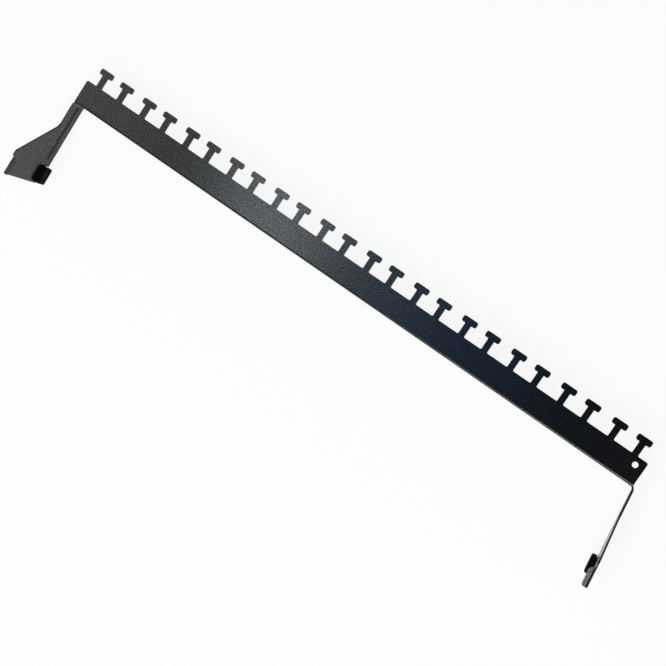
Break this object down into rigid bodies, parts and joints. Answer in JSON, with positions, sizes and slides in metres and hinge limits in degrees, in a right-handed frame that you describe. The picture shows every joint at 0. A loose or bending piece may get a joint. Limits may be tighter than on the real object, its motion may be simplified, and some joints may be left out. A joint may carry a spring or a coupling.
{
  "type": "horizontal cable manager",
  "caption": "Folded black steel cable lacing bar with a row of T-shaped fingers and two clip arms with rubber boots, for the back of a one-unit patch panel.",
  "frame": {"origin": "middle of the flange's free edge, on the flange's outer face, the side the arms are on", "axes": "+X along the bar towards the end with the hanging hole, +Y the way the fingers point, +Z from the flange's free edge up to the face plate"},
  "size_m": [0.4509, 0.0907, 0.0462],
  "materials": {
    "powder_coated_steel": "fine textured black powder coat, half matt",
    "black_rubber": "matt"
  },
  "bodies": {
    "root": {"lacing_bar": "powder_coated_steel", "rubber_boot_left": "black_rubber", "rubber_boot_right": "black_rubber"}
  },
  "joints": []
}
